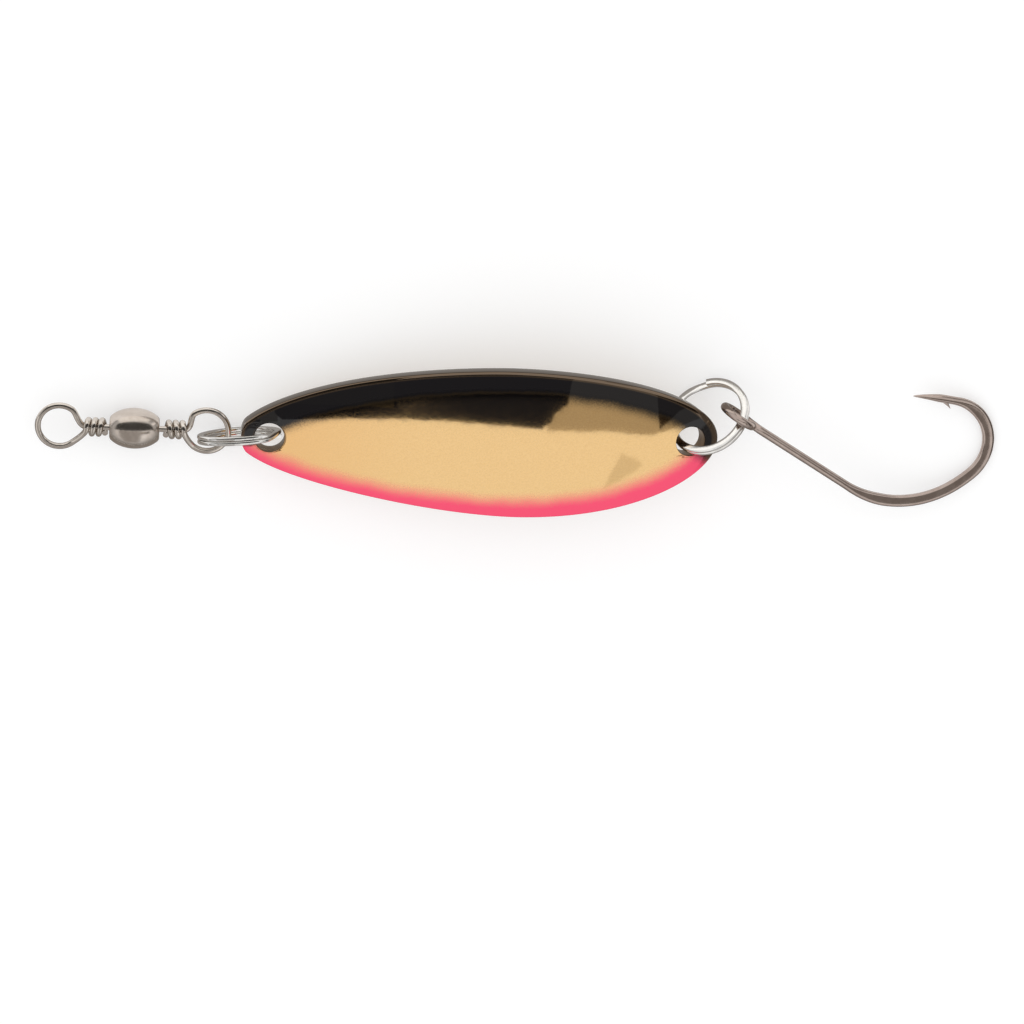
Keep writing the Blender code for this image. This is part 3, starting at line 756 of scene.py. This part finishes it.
class Nodes:
    """Short ways to add and link the nodes of one material."""

    def __init__(self, name):
        self.material = bpy.data.materials.new(name)
        self.material.use_nodes = True
        self.tree = self.material.node_tree
        self.shader = self.tree.nodes["Principled BSDF"]
        self.place = self.tree.nodes.new("ShaderNodeTexCoord").outputs["Object"]

    def add(self, kind, **settings):
        node = self.tree.nodes.new(kind)
        for key, value in settings.items():
            setattr(node, key, value)
        return node

    def link(self, source, target):
        if isinstance(source, (int, float)):
            target.default_value = source
        elif isinstance(source, tuple):
            target.default_value = (*source, 1.0) if len(target.default_value) == 4 else source
        else:
            self.tree.links.new(source, target)

    def math(self, operation, a, b=0.0, clamped=False):
        node = self.add("ShaderNodeMath", operation=operation, use_clamp=clamped)
        self.link(a, node.inputs[0])
        self.link(b, node.inputs[1])
        return node.outputs[0]

    def noise(self, per_mm, detail=2.0, roughness=0.5):
        """Clouds of about so many to the millimetre."""
        node = self.add("ShaderNodeTexNoise")
        self.link(self.place, node.inputs["Vector"])
        node.inputs["Scale"].default_value = per_mm / MM
        node.inputs["Detail"].default_value = detail
        node.inputs["Roughness"].default_value = roughness
        return node.outputs[0]

    def ramp(self, value, low, high):
        """0 where the value is under low, 1 where it is over high, with a soft start and end."""
        node = self.add("ShaderNodeMapRange", interpolation_type="SMOOTHSTEP")
        self.link(value, node.inputs["Value"])
        node.inputs["From Min"].default_value = low
        node.inputs["From Max"].default_value = high
        return node.outputs[0]

    def rest(self, value):
        """One minus the value, and never under 0."""
        return self.math("SUBTRACT", 1.0, value, clamped=True)

    def mix(self, share, a, b):
        node = self.add("ShaderNodeMix", data_type="RGBA")
        self.link(share, node.inputs["Factor"])
        self.link(a, node.inputs[6])
        self.link(b, node.inputs[7])
        return node.outputs[2]

    def bump(self, height, distance_mm):
        node = self.add("ShaderNodeBump")
        node.inputs["Distance"].default_value = distance_mm * MM
        self.link(height, node.inputs["Height"])
        self.link(node.outputs[0], self.shader.inputs["Normal"])

    def set(self, **values):
        for key, value in values.items():
            self.link(value, self.shader.inputs[key.replace("_", " ")])


GOLD = (0.86, 0.57, 0.25)
SPECKLED_GOLD = (0.80, 0.515, 0.22)
# a darker, more orange gold for the painted shade towards the blade's front
SHADED_FRONT_GOLD = (0.80, 0.45, 0.17)
RIM_BROWN = (0.15, 0.10, 0.06)
BLACK = (0.0115, 0.0103, 0.0106)
PINK = (0.93, 0.07, 0.16)


def painted_face():
    """Gold plate under clear lacquer, with black sprayed along one edge and pink along the other, and
    painted shade that darkens the gold towards the front.
    """
    n = Nodes("painted_gold_face")

    def spray(attribute, solid, gone, grain):
        """1 where the paint covers, 0 where there is none, with distances and grain in millimetres."""
        away = n.add("ShaderNodeAttribute", attribute_name=attribute).outputs["Fac"]
        fine = n.math("MULTIPLY", n.math("SUBTRACT", n.noise(9.0, 2.0), 0.5), grain)
        broad = n.math("MULTIPLY", n.math("SUBTRACT", n.noise(0.45, 1.0), 0.5), grain * 0.6)
        wobbled = n.math("ADD", away, n.math("ADD", fine, broad))
        return n.rest(n.ramp(wobbled, solid, gone))

    black = spray("from_black_edge", 0.65, 2.85, 0.5)
    pink = spray("from_pink_edge", 0.7, 2.4, 0.6)
    speck = n.ramp(n.noise(7.0, 3.0, 0.6), 0.25, 0.7)
    split = n.add("ShaderNodeSeparateXYZ")
    n.link(n.place, split.inputs[0])
    # painted shade: the gold is mixed towards a darker, more orange tone over the front of the blade
    front_shade = n.rest(n.ramp(split.outputs["X"], -21 * MM, -6 * MM))
    gold = n.mix(speck, SPECKLED_GOLD, GOLD)
    gold = n.mix(n.math("MULTIPLY", front_shade, 0.6), gold, SHADED_FRONT_GOLD)
    colour = n.mix(pink, gold, PINK)
    colour = n.mix(n.ramp(black, 0.0, 0.75), colour, BLACK)
    opaque = n.ramp(black, 0.5, 0.9)
    pinkish = n.math("MULTIPLY", pink, n.rest(black))
    from_edge = n.add("ShaderNodeAttribute", attribute_name="from_edge").outputs["Fac"]
    rim = n.math("MULTIPLY", n.rest(n.ramp(from_edge, 0.12, 0.34)), n.rest(pinkish))
    colour = n.mix(rim, colour, RIM_BROWN)
    opaque = n.math("MULTIPLY", opaque, n.rest(rim))
    n.set(Base_Color=colour, Metallic=n.rest(n.math("ADD", opaque, pinkish)))
    n.set(Roughness=n.math("ADD", 0.03, n.math("MULTIPLY", n.noise(5.0), 0.05)))
    n.set(Coat_Weight=1.0, Coat_Roughness=0.02, Coat_IOR=1.42, Specular_IOR_Level=0.0)
    n.bump(n.noise(0.5, 2.0), 0.004)
    return n.material


def gold_back():
    """Bare gold plate, faintly clouded."""
    n = Nodes("gold_back")
    cloud = n.ramp(n.noise(0.35, 3.0), 0.3, 0.7)
    n.set(Base_Color=n.mix(cloud, (0.88, 0.58, 0.24), (0.93, 0.64, 0.29)), Metallic=1.0)
    n.set(Roughness=n.math("ADD", 0.03, n.math("MULTIPLY", n.noise(2.5), 0.05)))
    n.bump(n.noise(0.4, 2.0), 0.004)
    return n.material


def plated(name, colour, tint, roughness):
    """Plated wire or turned metal, faintly clouded in colour and shine."""
    n = Nodes(name)
    cloud = n.ramp(n.noise(0.9, 3.0, 0.6), 0.35, 0.7)
    n.set(Base_Color=n.mix(cloud, colour, tint), Metallic=1.0)
    n.set(Roughness=n.math("ADD", roughness, n.math("MULTIPLY", n.noise(6.0, 2.0), 0.12)))
    n.bump(n.noise(3.0, 3.0), 0.0015)
    return n.material


# Studio -------------------------------------------------------------------------------------------

def photo_camera():
    """A far camera that shows the blade where the photograph does, at the photograph's scale."""
    right = Vector((1.0, 0.0, 0.0))
    up = Vector((0.0, math.cos(CAMERA_TILT), -math.sin(CAMERA_TILT)))
    back = right.cross(up)
    middle = PHOTO_SIDE / 2
    aim = BLADE_AT + right * ((middle - BLADE_PIXEL[0]) * PIXEL) - up * ((middle - BLADE_PIXEL[1]) * PIXEL)
    data = bpy.data.cameras.new("photo_camera")
    data.sensor_width = 36.0
    data.lens = data.sensor_width * CAMERA_DISTANCE / (PHOTO_SIDE * PIXEL)
    data.clip_start = 0.01
    data.clip_end = 10.0
    camera = bpy.data.objects.new("photo_camera", data)
    bpy.context.scene.collection.objects.link(camera)
    place = axes_matrix(right, up, back, aim + back * CAMERA_DISTANCE)
    place.translation *= MM
    camera.matrix_world = place
    bpy.context.scene.camera = camera


def glow(name, colour, strength):
    """A finish that gives off light and reflects none."""
    material = bpy.data.materials.new(name)
    material.use_nodes = True
    tree = material.node_tree
    tree.nodes.clear()
    out = tree.nodes.new("ShaderNodeOutputMaterial")
    light = tree.nodes.new("ShaderNodeEmission")
    light.inputs["Color"].default_value = (*colour, 1.0)
    light.inputs["Strength"].default_value = strength
    tree.links.new(light.outputs[0], out.inputs["Surface"])
    return material


def reflector(name, corners, colour, strength):
    """A card that only shows in reflections, as a flag or a softbox does in a studio."""
    bpy.ops.object.select_all(action="DESELECT")
    bpy.ops.mesh.primitive_circle_add(vertices=len(corners), fill_type="NGON")
    card = new_piece(name)
    for vertex, corner in zip(card.data.vertices, corners):
        vertex.co = corner
    card.data.materials.append(glow(name, colour, strength))
    card.visible_camera = False
    card.visible_diffuse = False
    card.visible_shadow = False
    card.visible_transmission = False
    return card


def sky_points(height, angles):
    """Corners of a level card overhead, each by its angles from straight up along X and along Y."""
    return [
        (height * math.tan(math.radians(a)), height * math.tan(math.radians(b)), height) for a, b in angles
    ]


def upright_card(a, b, height):
    """Corners of a card that stands on the floor from a to b, given in millimetres."""
    return [(x * MM, y * MM, z * MM) for (x, y), z in ((a, 0.2), (b, 0.2), (b, height), (a, height))]


def level_card(left, right, near, far, height):
    """Corners of a level card given in millimetres."""
    corners = ((left, near), (right, near), (right, far), (left, far))
    return [(x * MM, y * MM, height * MM) for x, y in corners]


def white_world():
    """White for all rays, but reflections see it fall off towards the horizon."""
    world = bpy.data.worlds.new("studio")
    bpy.context.scene.world = world
    world.use_nodes = True
    sky = world.node_tree
    background = sky.nodes["Background"]
    background.inputs["Color"].default_value = (1.0, 1.0, 1.0, 1.0)
    split = sky.nodes.new("ShaderNodeSeparateXYZ")
    sky.links.new(sky.nodes.new("ShaderNodeTexCoord").outputs["Generated"], split.inputs[0])
    from_level = sky.nodes.new("ShaderNodeMath")
    from_level.operation = "ABSOLUTE"
    sky.links.new(split.outputs["Z"], from_level.inputs[0])
    height = sky.nodes.new("ShaderNodeMapRange")
    height.inputs["From Max"].default_value = FULL_SKY_FROM
    height.inputs["To Min"].default_value = HORIZON_LIGHT
    sky.links.new(from_level.outputs[0], height.inputs["Value"])
    level = sky.nodes.new("ShaderNodeMix")
    level.inputs["A"].default_value = 1.0
    sky.links.new(sky.nodes.new("ShaderNodeLightPath").outputs["Is Glossy Ray"], level.inputs["Factor"])
    sky.links.new(height.outputs[0], level.inputs["B"])
    sky.links.new(level.outputs["Result"], background.inputs["Strength"])


def white_floor():
    """A matt floor that catches the shadow, lifted to white where it is looked at."""
    bpy.ops.object.select_all(action="DESELECT")
    bpy.ops.mesh.primitive_plane_add(size=FLOOR_SIDE)
    floor = new_piece("floor")
    material = bpy.data.materials.new("white_floor")
    material.use_nodes = True
    tree = material.node_tree
    shader = tree.nodes["Principled BSDF"]
    shader.inputs["Base Color"].default_value = (*FLOOR_COLOUR, 1.0)
    shader.inputs["Roughness"].default_value = 1.0
    shader.inputs["Specular IOR Level"].default_value = 0.0
    rays = tree.nodes.new("ShaderNodeLightPath")
    seen = rays.outputs["Is Camera Ray"]
    for kind in ("Is Glossy Ray", "Is Transmission Ray"):
        either = tree.nodes.new("ShaderNodeMath")
        either.operation = "MAXIMUM"
        tree.links.new(seen, either.inputs[0])
        tree.links.new(rays.outputs[kind], either.inputs[1])
        seen = either.outputs[0]
    lift = tree.nodes.new("ShaderNodeMath")
    lift.operation = "MULTIPLY"
    lift.inputs[1].default_value = FLOOR_LIFT
    tree.links.new(seen, lift.inputs[0])
    shader.inputs["Emission Color"].default_value = (1.0, 1.0, 1.0, 1.0)
    tree.links.new(lift.outputs[0], shader.inputs["Emission Strength"])
    floor.data.materials.append(material)


def overhead_cards():
    """The shapes that the blade's face mirrors in the photograph's view."""
    layers = (
        ("black_flag", (0.4, 0.5, 1.0), 0.028, (
            (-19, -16.1), (-5, -16.1), (-3.4, -15), (-2.6, -13.5), (0.4, -11.9), (1, -9), (2.5, -4),
            (-19, -4),
        )),
        ("dark_end", (1.0, 0.8, 0.75), 0.05, (
            (27.3, -18.6), (34, -16.9), (45, -15), (45, -7), (26, -7), (25.8, -10),
        )),
        ("grey_flag", (1.0, 0.94, 0.86), 0.44, (
            (-4, -16.4), (11, -16.7), (25, -19.2), (42, -20.5), (42, -5), (-4, -5),
        )),
        ("pale_corner", (1.0, 0.98, 0.95), 0.8, (
            (9.7, -27), (22.3, -23.9), (15.2, -21),
        )),
    )
    heights = (0.5, 0.5005, 0.501, 0.502)  # apart, so that a lower card hides the next where they overlap
    for height, (name, colour, strength, angles) in zip(heights, layers):
        reflector(name, sky_points(height, angles), colour, strength)


def cards_round_the_wires():
    """Light and shade for the swivel, the rings and the hook."""
    reflector("swivel_flag", level_card(-50, -12, 1.2, 14, 12), (1.0, 0.97, 0.95), 0.05)
    reflector("hook_flag", level_card(39, 58, -24, 3, 30), (1.0, 0.95, 0.9), 0.3)
    reflector("swivel_card", level_card(-50, -25, -40, 1.2, 20), (1.0, 0.96, 0.93), 0.42)
    reflector("back_light", upright_card((-70, 42), (30, 72), 34), (1.0, 0.99, 0.97), 1.15)
    reflector("hook_light", upright_card((32, 45), (62, 45), 40), (1.0, 0.98, 0.97), 1.2)
    reflector("rear_dark", upright_card((82, -30), (82, 20), 30), (1.0, 0.94, 0.92), 0.14)
    low = (
        (-160, -130), (160, -130), (160, 130), (39.5, 130), (39.5, -4), (36, -5.6), (31, -5.6),
        (22.5, 2.5), (22.5, 130), (-24, 130), (-24, 1), (-160, 1),
    )
    reflector("low_card", [(x * MM, y * MM, 0.1 * MM) for x, y in low], (1.0, 0.94, 0.88), 0.32)


photo_camera()
white_world()
white_floor()
overhead_cards()
cards_round_the_wires()
# painted shade: the hole walls are a dark brown metal, far darker than the gold back, for the shade inside
# the holes
shaded_hole_wall = plated("shaded_hole_wall", (0.22, 0.15, 0.095), (0.34, 0.24, 0.155), 0.14)
spoon_blade(painted_face(), gold_back(), shaded_hole_wall)
nickel = plated("bright_nickel", (0.83, 0.81, 0.78), (0.90, 0.88, 0.85), 0.05)
split_ring("front_ring", "front_split_ring", FRONT_RING_OUT, FRONT_RING_JOG_AT, nickel)
split_ring("rear_ring", "rear_split_ring", REAR_RING_OUT, REAR_RING_JOG_AT, nickel)
swivel_barrel(plated("barrel_nickel", (0.56, 0.49, 0.43), (0.64, 0.57, 0.51), 0.14))
wire_nickel = plated("wire_nickel", (0.62, 0.56, 0.50), (0.72, 0.66, 0.60), 0.06)
swivel_eye("line_eye", "swivel_line_eye", -1, LINE_EYE_STANDOFF, LINE_EYE_REACH, wire_nickel)
swivel_eye("ring_eye", "swivel_ring_eye", 1, RING_EYE_STANDOFF, RING_EYE_REACH, wire_nickel)
fish_hook(plated("smoked_nickel", (0.41, 0.33, 0.29), (0.48, 0.395, 0.35), 0.07))

bpy.context.scene.view_settings.view_transform = "Standard"
